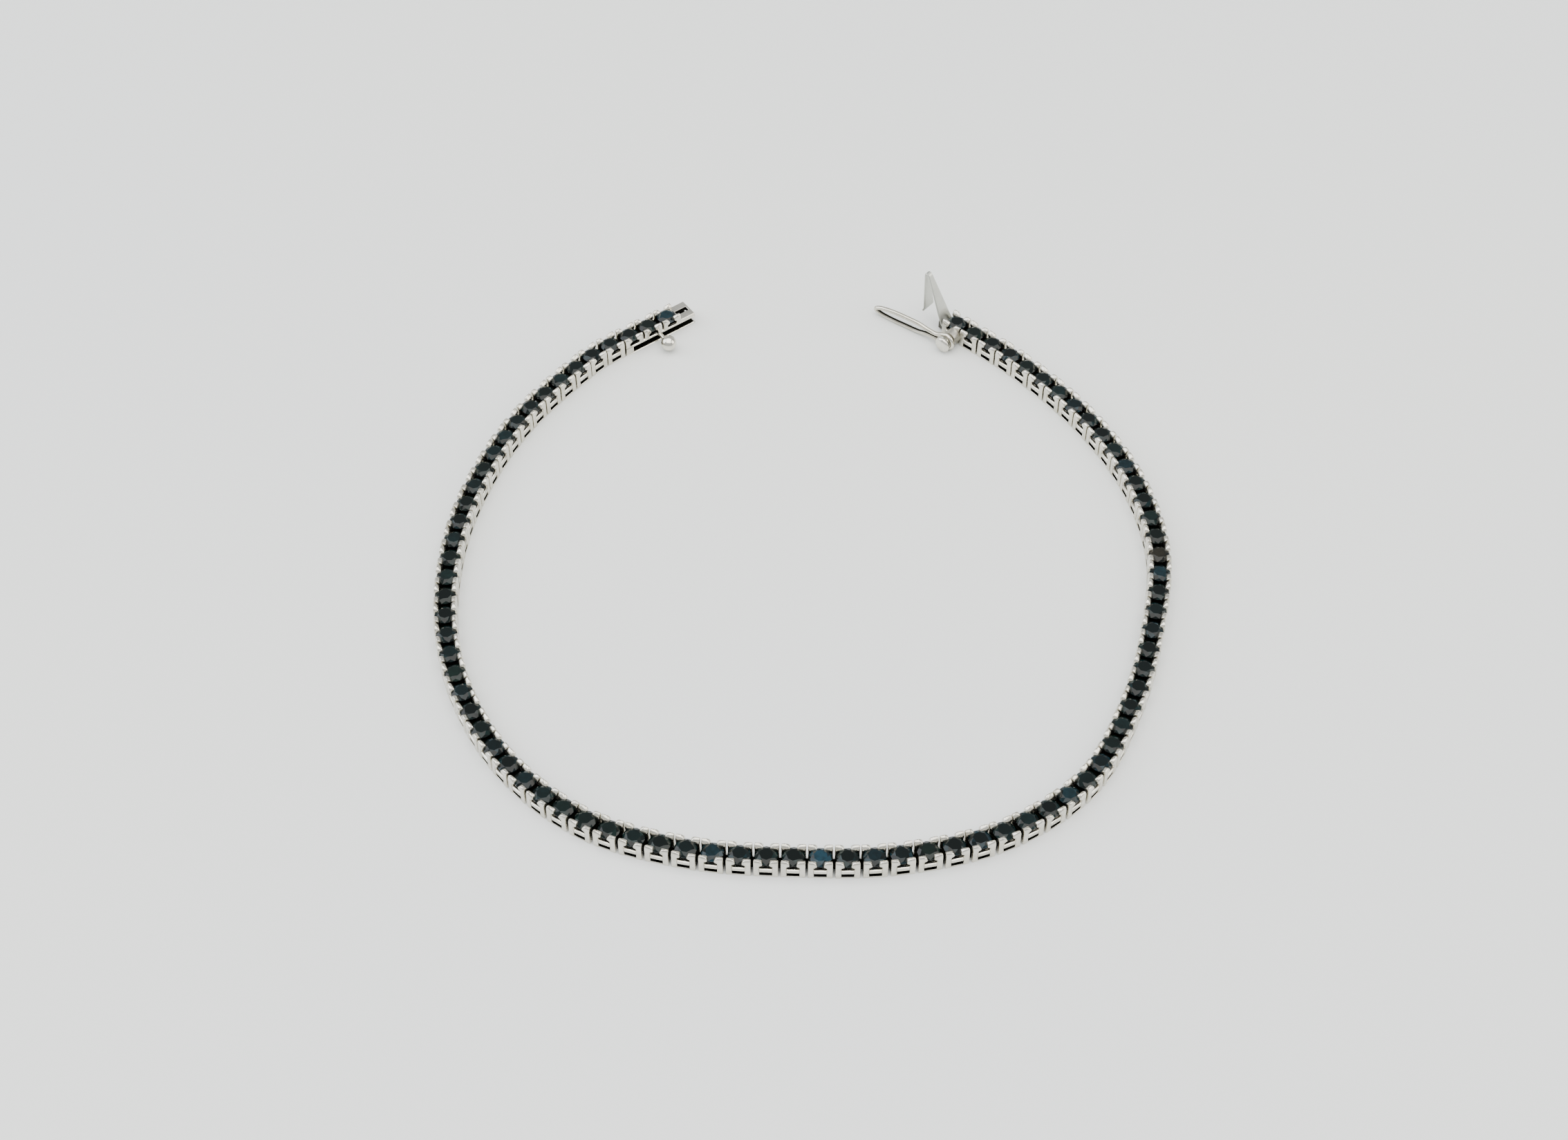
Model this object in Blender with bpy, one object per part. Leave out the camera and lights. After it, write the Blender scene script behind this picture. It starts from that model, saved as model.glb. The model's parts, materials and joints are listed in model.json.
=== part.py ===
# Tennis bracelet lying open on a table, stones up.
# A row of square baskets, each holding one cut stone, runs in a C from a box clasp to a spring tongue.
# Metres, +Z up. The origin is under the middle of the bracelet, on the surface that it lies on.
# Every link is modelled in its own frame: X along the row, Y to the inner side of the loop, Z up.

import math

import bmesh
import bpy
from mathutils import Matrix, Vector

MM = 0.001

# Row of stones
PITCH = 2.16 * MM
STONE_COUNT = 81
BOX_STONES = 3
LINK_GAP = 0.21 * MM
LINK_WIDTH = 2.05 * MM

# Basket
WALL_LENGTH = 0.52 * MM
POST_WIDTH = 0.56 * MM
RAIL_HEIGHT = 0.20 * MM
SLOT_HEIGHT = 0.26 * MM
FLOOR_HEIGHT = 0.98 * MM
PRONG_HEIGHT = 1.98 * MM
PRONG_REACH = 0.17 * MM

# Cut stone
STONE_DIAMETER = 1.76 * MM
STONE_FACETS = 8
TABLE_SHARE = 0.50
GIRDLE_HEIGHT = 1.46 * MM
CROWN_HEIGHT = 0.30 * MM
CULET_GAP = 0.06 * MM

# Tab that joins a link to the next one, and the pocket that it sits in between separate pieces
TAB_WIDTH = 0.90 * MM
TAB_THICKNESS = 0.20 * MM
TAB_BOTTOM = 0.44 * MM
TAB_BITE = 0.30 * MM
CLEARANCE = 0.25 * MM

# Box clasp
BOX_OVERHANG = 2.60 * MM
BOX_WALL = 0.30 * MM
BOX_BASE = 0.14 * MM
BOX_ROOF = 0.20 * MM
BOX_PLATE_TOP = 1.25 * MM
BOX_PLATE_INSET = BOX_WALL / 2
BOX_DECK_SINK = 0.02 * MM
BOX_WINDOW_DROP = 0.05 * MM
CATCH_HOLE_BOTTOM = 0.45 * MM
CATCH_HOLE_LENGTH = 1.20 * MM
CATCH_HOLE_WIDTH = 0.62 * MM
CATCH_HOLE_START = 1.12 * MM

# Snap ball on the side of the box, and the pin that carries the safety catch
BALL_RADIUS = 0.74 * MM
BALL_OFFSET = 2.68 * MM
BALL_PLACE = 1.60 * MM
POST_RADIUS = 0.22 * MM
PIN_BITE = 0.15 * MM
POST_HEIGHT = 0.95 * MM
PIN_RADIUS = 0.25 * MM
PIN_PLACE = -0.50 * MM
COLLAR_RADIUS = 0.62 * MM
COLLAR_END = 1.70 * MM
HEAD_RADIUS = 0.80 * MM
HEAD_TOP_RADIUS = 0.48 * MM
HEAD_THICKNESS = 0.42 * MM
ROUND_SIDES = 12

# Figure-of-eight safety catch
WIRE_RADIUS = 0.20 * MM
CATCH_PLANE = 2.20 * MM
CATCH_LENGTH = 8.20 * MM
CATCH_HALF_HEIGHT = 0.68 * MM
CATCH_SWAY_DEG = 5.4
CATCH_DROOP_DEG = 1.8
WAIST_HALF_GAP = 0.09 * MM
EYE_CLEARANCE = 0.28 * MM
EYE_CORNERS_DEG = (150, 120, 90, 60)
WAIST_PLACE = 1.13 * MM

# Folded spring tongue: places along X and Z from the end link's middle
TONGUE_THICKNESS = 0.22 * MM
TONGUE_BASE_WIDTH = 1.30 * MM
TONGUE_TIP_WIDTH = 0.46 * MM
TONGUE_FOLD_RADIUS = 0.20 * MM
TONGUE_ROOT = (0.78 * MM, 0.58 * MM)
TONGUE_BEND = (1.28 * MM, 0.92 * MM)
TONGUE_TIP = (3.70 * MM, 5.45 * MM)
TONGUE_FREE_END = (3.80 * MM, 1.40 * MM)
LEAST_MITRE = 0.5

# Route of the chain on the table, chosen by hand, from the box clasp round to the tongue
CHAIN_ROUTE_MM = [
    (-13.0, 30.0), (-16.7, 27.3), (-20.2, 24.4), (-25.5, 17.5), (-29.0, 10.0), (-30.9, 1.9),
    (-30.9, -7.1), (-28.7, -15.3), (-24.2, -22.7), (-17.7, -28.1), (-9.6, -30.8), (-1.1, -31.6),
    (7.5, -31.4), (16.0, -29.1), (23.0, -24.0), (27.3, -16.3), (29.9, -8.0), (31.2, 0.5),
    (29.8, 8.9), (26.1, 16.7), (20.8, 23.5), (16.1, 27.9), (12.9, 30.7),
]
ROUTE_STEPS = 60
HALVINGS = 40

# Shares of the catch's length and half height along its long lobe, from the waist to the end
CATCH_LOBE = [
    {"along": 0.27, "height": 0.56},
    {"along": 0.40, "height": 0.93},
    {"along": 0.58, "height": 1.00},
    {"along": 0.76, "height": 0.97},
    {"along": 0.90, "height": 0.74},
    {"along": 0.975, "height": 0.36},
    {"along": 1.00, "height": 0.00},
]

LINK_LENGTH = PITCH - LINK_GAP
HALF_LENGTH = LINK_LENGTH / 2
HALF_WIDTH = LINK_WIDTH / 2
CHANNEL_HALF_X = HALF_LENGTH - WALL_LENGTH
CHANNEL_HALF_Y = HALF_WIDTH - POST_WIDTH
OVERCUT = 0.5 * MM
MERGE = 0.001 * MM


def clear_scene():
    for obj in list(bpy.data.objects):
        bpy.data.objects.remove(obj)
    for group in list(bpy.data.collections):
        bpy.data.collections.remove(group)


def make_collection(name):
    group = bpy.data.collections.new(name)
    bpy.context.scene.collection.children.link(group)
    return group


def make_material(name, color, metallic, roughness):
    material = bpy.data.materials.new(name)
    material.use_nodes = True
    shader = material.node_tree.nodes["Principled BSDF"]
    shader.inputs["Base Color"].default_value = (*color, 1.0)
    shader.inputs["Metallic"].default_value = metallic
    shader.inputs["Roughness"].default_value = roughness
    return material


def mesh_object(name, bm, group):
    mesh = bpy.data.meshes.new(name)
    bm.to_mesh(mesh)
    bm.free()
    obj = bpy.data.objects.new(name, mesh)
    group.objects.link(obj)
    return obj


def add_block(bm, low, high):
    # An upright box between two opposite corners
    centre = (Vector(low) + Vector(high)) / 2
    size = Vector(high) - Vector(low)
    matrix = Matrix.Translation(centre) @ Matrix.Diagonal((*size, 1.0))
    bmesh.ops.create_cube(bm, size=1.0, matrix=matrix)


def add_rod_along_y(bm, x, z, start, end, radius, end_radius=None):
    # A round rod or cone across the row, from the side start to the side end
    matrix = (
        Matrix.Translation((x, (start + end) / 2, z))
        @ Matrix.Rotation(math.radians(-90), 4, "X")
    )
    bmesh.ops.create_cone(
        bm, cap_ends=True, segments=ROUND_SIDES, radius1=radius,
        radius2=radius if end_radius is None else end_radius, depth=end - start, matrix=matrix,
    )


def evaluated_mesh(obj):
    bpy.context.view_layer.update()
    return bpy.data.meshes.new_from_object(obj.evaluated_get(bpy.context.evaluated_depsgraph_get()))


def combine(obj, other, operation):
    # Cuts or joins obj with other, and throws other away
    modifier = obj.modifiers.new(operation.lower(), "BOOLEAN")
    modifier.operation = operation
    modifier.solver = "EXACT"
    modifier.object = other
    mesh = evaluated_mesh(obj)
    obj.modifiers.clear()
    obj.data = mesh
    bpy.data.objects.remove(other)


def cut(obj, cutters, low, high):
    bm = bmesh.new()
    add_block(bm, low, high)
    combine(obj, mesh_object("cutter", bm, cutters), "DIFFERENCE")


def lean_prongs(obj):
    # Each post's tip reaches over the stone: its inner sides lean in and its outer sides stay upright
    for vertex in obj.data.vertices:
        if vertex.co.z > PRONG_HEIGHT - MERGE:
            if abs(vertex.co.x) < CHANNEL_HALF_X + MERGE:
                vertex.co.x -= math.copysign(PRONG_REACH, vertex.co.x)
            if abs(vertex.co.y) < CHANNEL_HALF_Y + MERGE:
                vertex.co.y -= math.copysign(PRONG_REACH, vertex.co.y)


def make_basket(name, group, cutters, side_slot):
    # Four leaning corner posts on a block, with one channel along the row and one across it
    bm = bmesh.new()
    add_block(bm, (-HALF_LENGTH, -HALF_WIDTH, 0), (HALF_LENGTH, HALF_WIDTH, PRONG_HEIGHT))
    basket = mesh_object(name, bm, group)
    top = PRONG_HEIGHT + OVERCUT
    side = HALF_WIDTH + OVERCUT
    end = HALF_LENGTH + OVERCUT
    cut(basket, cutters, (-CHANNEL_HALF_X, -side, FLOOR_HEIGHT), (CHANNEL_HALF_X, side, top))
    cut(basket, cutters, (-end, -CHANNEL_HALF_Y, FLOOR_HEIGHT), (end, CHANNEL_HALF_Y, top))
    if side_slot:
        slot_top = RAIL_HEIGHT + SLOT_HEIGHT
        cut(basket, cutters, (-CHANNEL_HALF_X, -side, RAIL_HEIGHT), (CHANNEL_HALF_X, side, slot_top))
    lean_prongs(basket)
    return basket


def make_stone(group):
    # A round brilliant in short form: a flat table, a crown facet per side and a pavilion to a point
    radius = STONE_DIAMETER / 2
    culet = FLOOR_HEIGHT + CULET_GAP
    turn = Matrix.Rotation(math.pi / STONE_FACETS, 4, "Z")
    bm = bmesh.new()
    bmesh.ops.create_cone(
        bm, cap_ends=True, segments=STONE_FACETS, radius1=radius, radius2=radius * TABLE_SHARE,
        depth=CROWN_HEIGHT, matrix=Matrix.Translation((0, 0, GIRDLE_HEIGHT + CROWN_HEIGHT / 2)) @ turn,
    )
    under = [f for f in bm.faces if f.normal.z < -0.9]
    point = bm.verts.new((0, 0, culet))
    rim = [e for e in bm.edges if all(abs(v.co.z - GIRDLE_HEIGHT) < MERGE for v in e.verts)]
    bmesh.ops.delete(bm, geom=under, context="FACES_ONLY")
    for edge in rim:
        bm.faces.new((edge.verts[0], edge.verts[1], point))
    bmesh.ops.recalc_face_normals(bm, faces=bm.faces)
    return mesh_object("stone", bm, group)


def make_link(group, cutters):
    link = make_basket("link", group, cutters, side_slot=True)
    combine(link, make_stone(group), "UNION")
    return link


def add_tab(bm, matrix):
    # The tab starts inside this link's end wall and ends inside the next link's
    start = HALF_LENGTH - TAB_BITE
    end = PITCH - HALF_LENGTH + TAB_BITE
    tab = bmesh.new()
    add_block(tab, (start, -TAB_WIDTH / 2, TAB_BOTTOM), (end, TAB_WIDTH / 2, TAB_BOTTOM + TAB_THICKNESS))
    bmesh.ops.transform(tab, matrix=matrix, verts=tab.verts)
    append_bmesh(bm, tab)


def append_bmesh(bm, piece):
    mesh = bpy.data.meshes.new("piece")
    piece.to_mesh(mesh)
    piece.free()
    bm.from_mesh(mesh)
    bpy.data.meshes.remove(mesh)


def add_mesh(bm, mesh, matrix):
    piece = bmesh.new()
    piece.from_mesh(mesh)
    bmesh.ops.transform(piece, matrix=matrix, verts=piece.verts)
    append_bmesh(bm, piece)


def cut_pocket(obj, cutters, matrix):
    # Room in a link's rear end wall for the tab of the piece before it
    half = TAB_WIDTH / 2 + CLEARANCE
    low_z = TAB_BOTTOM - CLEARANCE
    high_z = TAB_BOTTOM + TAB_THICKNESS + CLEARANCE
    bm = bmesh.new()
    add_block(bm, (-HALF_LENGTH - OVERCUT, -half, low_z), (-CHANNEL_HALF_X + CLEARANCE, half, high_z))
    bmesh.ops.transform(bm, matrix=matrix, verts=bm.verts)
    combine(obj, mesh_object("cutter", bm, cutters), "DIFFERENCE")


def route_point(points, position):
    # Catmull-Rom curve through the route's points
    last = len(points) - 1
    index = min(int(position), last - 1)
    t = position - index
    p0 = points[max(index - 1, 0)]
    p1 = points[index]
    p2 = points[index + 1]
    p3 = points[min(index + 2, last)]
    linear = (p2 - p0) * t
    square = (p0 * 2 - p1 * 5 + p2 * 4 - p3) * t * t
    cube = (p1 * 3 - p0 - p2 * 3 + p3) * t * t * t
    return p1 + (linear + square + cube) / 2


def stone_places():
    # Walks along the route and stops each time the straight distance from the last stone is one pitch
    points = [Vector((x * MM, y * MM, 0)) for x, y in CHAIN_ROUTE_MM]
    steps = ROUTE_STEPS * (len(points) - 1)
    fine = [route_point(points, i / ROUTE_STEPS) for i in range(steps + 1)]
    fine.append(fine[-1] + (fine[-1] - fine[-2]).normalized() * PITCH * STONE_COUNT)
    places = [fine[0]]
    start = fine[0]
    for end in fine[1:]:
        while (end - places[-1]).length >= PITCH and len(places) < STONE_COUNT + 1:
            start = crossing(places[-1], start, end)
            places.append(start)
        start = end
    return places


def crossing(centre, start, end):
    # The point between start and end that lies one pitch from the centre
    low = 0.0
    high = 1.0
    for _ in range(HALVINGS):
        middle = (low + high) / 2
        if (start.lerp(end, middle) - centre).length < PITCH:
            low = middle
        else:
            high = middle
    return start.lerp(end, high)


def frame_at(place, ahead):
    # X runs along the row and Y points to the inner side of the loop
    direction = (ahead - place).normalized()
    return Matrix.Translation(place) @ Matrix.Rotation(math.atan2(direction.y, direction.x), 4, "Z")


def link_frames(places):
    frames = []
    for index in range(STONE_COUNT):
        before = places[max(index - 1, 0)]
        after = places[index + 1]
        turn = frame_at(before, after).to_3x3().to_4x4()
        frames.append(Matrix.Translation(places[index]) @ turn)
    box_turn = frame_at(places[0], places[BOX_STONES - 1]).to_3x3().to_4x4()
    for index in range(BOX_STONES):
        offset = Vector(((index - (BOX_STONES - 1) / 2) * PITCH, 0, 0))
        middle = (places[0] + places[BOX_STONES - 1]) / 2
        frames[index] = Matrix.Translation(middle) @ box_turn @ Matrix.Translation(offset)
    return frames


def make_chain(name, link, frames, group, cutters, material):
    # Every second link goes into one mesh and the rest into another, so that one union joins them all
    halves = (bmesh.new(), bmesh.new())
    for index, frame in enumerate(frames):
        add_mesh(halves[index % 2], link.data, frame)
    tabs = bmesh.new()
    for frame in frames:
        add_tab(tabs, frame)
    chain = mesh_object(name, halves[0], group)
    combine(chain, mesh_object("other_links", halves[1], cutters), "UNION")
    combine(chain, mesh_object("tabs", tabs, cutters), "UNION")
    cut_pocket(chain, cutters, frames[0])
    chain.data.materials.append(material)
    return chain


def make_clasp_box(link_top, frame, group, cutters, material):
    # A hollow box under the first three stones, open at its end and along its inner side
    last = (BOX_STONES - 1) * PITCH + HALF_LENGTH
    bm = bmesh.new()
    add_block(bm, (-BOX_OVERHANG, -HALF_WIDTH, 0), (last, HALF_WIDTH, FLOOR_HEIGHT - BOX_DECK_SINK))
    box = mesh_object("clasp_box", bm, group)
    cavity_top = FLOOR_HEIGHT - BOX_ROOF
    inner = HALF_WIDTH - BOX_WALL
    bm = bmesh.new()
    add_block(
        bm, (-BOX_OVERHANG + BOX_WALL, -HALF_WIDTH + BOX_PLATE_INSET, FLOOR_HEIGHT / 2),
        (-HALF_LENGTH + BOX_WALL, HALF_WIDTH - BOX_PLATE_INSET, BOX_PLATE_TOP),
    )
    combine(box, mesh_object("end_plate", bm, cutters), "UNION")
    tops = bmesh.new()
    for index in range(BOX_STONES):
        add_mesh(tops, link_top.data, Matrix.Translation((index * PITCH, 0, 0)))
    combine(box, mesh_object("box_tops", tops, cutters), "UNION")
    tab = bmesh.new()
    add_tab(tab, Matrix.Translation(((BOX_STONES - 1) * PITCH, 0, 0)))
    combine(box, mesh_object("box_tab", tab, cutters), "UNION")
    cut(
        box, cutters, (-BOX_OVERHANG - OVERCUT, -inner, BOX_BASE),
        (last - WALL_LENGTH, inner, cavity_top),
    )
    cut(
        box, cutters, (-BOX_OVERHANG + BOX_WALL, 0, BOX_BASE),
        (last - WALL_LENGTH - BOX_WALL, HALF_WIDTH + OVERCUT, cavity_top - BOX_WINDOW_DROP),
    )
    hole_end = -CATCH_HOLE_START
    cut(
        box, cutters, (hole_end - CATCH_HOLE_LENGTH, -CATCH_HOLE_WIDTH / 2, CATCH_HOLE_BOTTOM),
        (hole_end, CATCH_HOLE_WIDTH / 2, BOX_PLATE_TOP + OVERCUT),
    )
    add_snap_ball(box, cutters)
    box.matrix_world = frame
    box.data.materials.append(material)
    return box


def add_snap_ball(box, cutters):
    bm = bmesh.new()
    add_rod_along_y(bm, BALL_PLACE, POST_HEIGHT, HALF_WIDTH - PIN_BITE, BALL_OFFSET, POST_RADIUS)
    combine(box, mesh_object("ball_post", bm, cutters), "UNION")
    bm = bmesh.new()
    bmesh.ops.create_uvsphere(
        bm, u_segments=ROUND_SIDES, v_segments=ROUND_SIDES // 2, radius=BALL_RADIUS,
        matrix=Matrix.Translation((BALL_PLACE, BALL_OFFSET, POST_HEIGHT)),
    )
    combine(box, mesh_object("ball", bm, cutters), "UNION")


def tongue_line():
    # Root, bend, up the long leaf, round the fold at the tip and down the free leaf
    root = Vector((TONGUE_ROOT[0], 0, TONGUE_ROOT[1]))
    bend = Vector((TONGUE_BEND[0], 0, TONGUE_BEND[1]))
    tip = Vector((TONGUE_TIP[0], 0, TONGUE_TIP[1]))
    free = Vector((TONGUE_FREE_END[0], 0, TONGUE_FREE_END[1]))
    up = ((tip - bend).normalized() + (tip - free).normalized()).normalized()
    side = Vector((up.z, 0, -up.x)) * TONGUE_FOLD_RADIUS
    return [root, bend, tip - side, tip + up * TONGUE_FOLD_RADIUS, tip + side, free]


def make_tongue(group):
    # A flat strip carried along the line, narrowing towards the fold
    line = tongue_line()
    widths = [TONGUE_BASE_WIDTH, TONGUE_BASE_WIDTH]
    widths += [TONGUE_TIP_WIDTH] * 3
    widths += [(TONGUE_BASE_WIDTH + TONGUE_TIP_WIDTH) / 2]
    bm = bmesh.new()
    rings = []
    for index, point in enumerate(line):
        before = line[max(index - 1, 0)]
        after = line[min(index + 1, len(line) - 1)]
        into = (point - before).normalized() if index else (after - point).normalized()
        out = (after - point).normalized() if index < len(line) - 1 else into
        along = (into + out).normalized()
        normal = Vector((-along.z, 0, along.x)) * (TONGUE_THICKNESS / 2 / max(along.dot(into), LEAST_MITRE))
        half = Vector((0, widths[index] / 2, 0))
        corners = (point + half + normal, point - half + normal, point - half - normal, point + half - normal)
        rings.append([bm.verts.new(corner) for corner in corners])
    for ring, following in zip(rings, rings[1:]):
        for side in range(4):
            other = (side + 1) % 4
            bm.faces.new((ring[side], ring[other], following[other], following[side]))
    bm.faces.new(rings[0])
    bm.faces.new(reversed(rings[-1]))
    bmesh.ops.recalc_face_normals(bm, faces=bm.faces)
    return mesh_object("tongue", bm, group)


def make_clasp_tongue(link, frame, group, cutters, material):
    # The end link with the folded tongue at its front and the catch's pin on its inner side
    bm = bmesh.new()
    add_mesh(bm, link.data, Matrix.Identity(4))
    tongue = mesh_object("clasp_tongue", bm, group)
    cut_pocket(tongue, cutters, Matrix.Identity(4))
    combine(tongue, make_tongue(cutters), "UNION")
    head_start = CATCH_PLANE + WIRE_RADIUS + EYE_CLEARANCE
    bm = bmesh.new()
    add_rod_along_y(bm, PIN_PLACE, POST_HEIGHT, HALF_WIDTH - PIN_BITE * 2, head_start + PIN_BITE, PIN_RADIUS)
    combine(tongue, mesh_object("pin", bm, cutters), "UNION")
    bm = bmesh.new()
    add_rod_along_y(bm, PIN_PLACE, POST_HEIGHT, HALF_WIDTH - PIN_BITE, COLLAR_END, COLLAR_RADIUS)
    combine(tongue, mesh_object("collar", bm, cutters), "UNION")
    bm = bmesh.new()
    add_rod_along_y(
        bm, PIN_PLACE, POST_HEIGHT, head_start, head_start + HEAD_THICKNESS, HEAD_RADIUS, HEAD_TOP_RADIUS,
    )
    combine(tongue, mesh_object("pin_head", bm, cutters), "UNION")
    tongue.matrix_world = frame
    tongue.data.materials.append(material)
    return tongue


def catch_outline():
    # Half of the figure of eight: a round eye about the pin, a waist and a long lobe
    eye = PIN_RADIUS + EYE_CLEARANCE + WIRE_RADIUS
    angles = [math.radians(corner) for corner in EYE_CORNERS_DEG]
    upper = [(eye * math.cos(angle), eye * math.sin(angle)) for angle in angles]
    upper.append((WAIST_PLACE, WAIST_HALF_GAP + WIRE_RADIUS))
    height = CATCH_HALF_HEIGHT - WIRE_RADIUS
    for row in CATCH_LOBE:
        upper.append((row["along"] * (CATCH_LENGTH - WIRE_RADIUS), row["height"] * height))
    lower = [(x, -z) for x, z in reversed(upper[:-1])]
    outline = [(-eye, 0.0)] + upper + lower
    return [Vector((x, 0, z)) for x, z in outline]


def make_safety_catch(frame, group, material):
    # The wire is a closed loop about the pin; it lies swayed inwards and droops a little
    curve = bpy.data.curves.new("safety_catch", "CURVE")
    curve.dimensions = "3D"
    curve.bevel_depth = WIRE_RADIUS
    curve.bevel_resolution = 1
    points = catch_outline()
    spline = curve.splines.new("POLY")
    spline.points.add(len(points) - 1)
    for target, point in zip(spline.points, points):
        target.co = (*point, 1.0)
    spline.use_cyclic_u = True
    catch = bpy.data.objects.new("safety_catch", curve)
    group.objects.link(catch)
    sway = Matrix.Rotation(math.radians(CATCH_SWAY_DEG), 4, "Z")
    droop = Matrix.Rotation(math.radians(CATCH_DROOP_DEG), 4, "Y")
    catch.matrix_world = frame @ Matrix.Translation((PIN_PLACE, CATCH_PLANE, POST_HEIGHT)) @ sway @ droop
    curve.materials.append(material)
    return catch


def build():
    clear_scene()
    group = make_collection("tennis_bracelet")
    cutters = make_collection("cutters")
    silver = make_material("polished_silver", (0.78, 0.77, 0.74), 1.0, 0.16)
    chain_silver = make_material("chain_silver_and_stones", (0.45, 0.46, 0.45), 1.0, 0.2)
    spring_silver = make_material("spring_silver", (0.62, 0.63, 0.6), 1.0, 0.28)
    wire_silver = make_material("wire_silver", (0.74, 0.73, 0.7), 1.0, 0.2)

    frames = link_frames(stone_places())
    link = make_link(cutters, cutters)
    link_top = make_basket("link_top", cutters, cutters, side_slot=False)
    combine(link_top, make_stone(cutters), "UNION")

    middle = (STONE_COUNT + BOX_STONES) // 2
    make_clasp_box(link_top, frames[0], group, cutters, silver)
    make_chain("chain_left", link, frames[BOX_STONES:middle], group, cutters, chain_silver)
    make_chain("chain_right", link, frames[middle:STONE_COUNT - 1], group, cutters, chain_silver)
    make_clasp_tongue(link, frames[-1], group, cutters, spring_silver)
    make_safety_catch(frames[-1], group, wire_silver)
    for leftover in list(cutters.objects):
        bpy.data.objects.remove(leftover)


build()
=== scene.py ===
import json
import math

import bpy
import numpy as np
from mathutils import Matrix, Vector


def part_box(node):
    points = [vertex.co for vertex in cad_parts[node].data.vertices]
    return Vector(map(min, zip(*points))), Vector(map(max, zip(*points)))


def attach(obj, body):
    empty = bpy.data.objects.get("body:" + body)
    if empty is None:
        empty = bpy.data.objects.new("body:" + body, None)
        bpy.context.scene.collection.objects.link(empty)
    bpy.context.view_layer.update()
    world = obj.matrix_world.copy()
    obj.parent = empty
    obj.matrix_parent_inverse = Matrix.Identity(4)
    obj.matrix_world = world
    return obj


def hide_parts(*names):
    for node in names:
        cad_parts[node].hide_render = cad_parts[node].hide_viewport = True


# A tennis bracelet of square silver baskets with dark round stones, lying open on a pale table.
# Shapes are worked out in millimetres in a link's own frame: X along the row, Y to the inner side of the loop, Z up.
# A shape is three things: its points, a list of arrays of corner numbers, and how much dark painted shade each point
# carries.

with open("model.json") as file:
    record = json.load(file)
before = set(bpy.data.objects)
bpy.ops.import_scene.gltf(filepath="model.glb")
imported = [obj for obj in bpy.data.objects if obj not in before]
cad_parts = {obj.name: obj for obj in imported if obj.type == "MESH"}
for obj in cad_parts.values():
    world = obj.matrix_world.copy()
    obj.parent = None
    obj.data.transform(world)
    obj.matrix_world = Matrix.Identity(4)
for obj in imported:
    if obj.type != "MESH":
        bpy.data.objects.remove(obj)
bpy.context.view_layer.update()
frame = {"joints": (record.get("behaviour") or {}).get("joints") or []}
mm = 0.001
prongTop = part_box("chain_left")[1].z / mm
hinge = frame["joints"][0]


def hexColour(text):
    # Each pair of sRGB digits as a share of 255, turned into light by the sRGB curve
    shares = [int(text[i:i + 2], 16) / 255 for i in (1, 3, 5)]
    light = [s / 12.92 if s <= 0.04045 else ((s + 0.055) / 1.055) ** 2.4 for s in shares]
    return (*light, 1.0)


# Shapes as whole arrays

def joined(shapes):
    # The shapes' points one after another; each shape's corner numbers are raised by the points before it
    starts = np.cumsum([0] + [len(points) for points, faces, paintedShadeShare in shapes])
    faces = [corners + start for (points, group, paintedShadeShare), start in zip(shapes, starts) for corners in group]
    return np.concatenate([s[0] for s in shapes]), faces, np.concatenate([s[2] for s in shapes])


def placed(shape, frames):
    # Every point is put in every frame: origin, plus x, y and z times the frame's axes
    points, faces, paintedShadeShare = shape
    world = np.einsum("nij,pj->npi", frames[:, :, :3], points * mm) + frames[:, None, :, 3]
    raised = np.arange(len(frames))[:, None, None] * len(points)
    copies = [(corners[None] + raised).reshape(-1, corners.shape[1]) for corners in faces]
    return world.reshape(-1, 3), copies, np.tile(paintedShadeShare, len(frames))


def lofted(rings, paintedShadeShare, closedPath=False):
    # A grid of quads over rings of equal length; the ends are closed by a face each, or joined on a closed path
    count, around = rings.shape[:2]
    i = np.arange(count if closedPath else count - 1)[:, None]
    j = np.arange(around)[None]
    nextI = (i + 1) % count
    nextJ = (j + 1) % around
    quads = np.stack(np.broadcast_arrays(i * around + j, i * around + nextJ, nextI * around + nextJ, nextI * around + j), -1)
    faces = [quads.reshape(-1, 4)]
    if not closedPath:
        first = np.arange(around)[::-1]
        last = np.arange(around) + (count - 1) * around
        faces.append(np.stack([first, last]))
    points = rings.reshape(-1, 3)
    return points, faces, np.broadcast_to(np.asarray(paintedShadeShare, float), (len(points),)).copy()


def column(rows, corner, paintedShadeShare=0.0, steps=3):
    # Rings of a rounded rectangle, one per row of height, x range and y range:
    # each ring point is a corner's centre plus the corner radius times the cosine and sine of its angle
    z, xLow, xHigh, yLow, yHigh = np.array(rows, float).T
    radius = np.minimum(corner, np.minimum(xHigh - xLow, yHigh - yLow) * 0.45)[:, None]
    angle = np.radians((np.arange(4)[:, None] * 90 + np.linspace(0, 90, steps)[None]).ravel())
    right = np.repeat([1, 0, 0, 1], steps)[None]
    top = np.repeat([1, 1, 0, 0], steps)[None]
    x = np.where(right, xHigh[:, None] - radius, xLow[:, None] + radius) + radius * np.cos(angle)
    y = np.where(top, yHigh[:, None] - radius, yLow[:, None] + radius) + radius * np.sin(angle)
    rings = np.stack([x, y, np.broadcast_to(z[:, None], x.shape)], -1)
    return lofted(rings, np.repeat(np.broadcast_to(paintedShadeShare, z.shape), 4 * steps))


def block(low, high, edge=0.04, paintedShadeShare=0.0):
    # An upright rounded rectangle with its top and bottom edges drawn in by the edge radius
    (x0, y0, z0), (x1, y1, z1) = low, high
    inset = [(z0, edge), (z0 + edge, 0.0), (z1 - edge, 0.0), (z1, edge)]
    return column([(z, x0 + e, x1 - e, y0 + e, y1 - e) for z, e in inset], edge * 2, paintedShadeShare)


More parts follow.
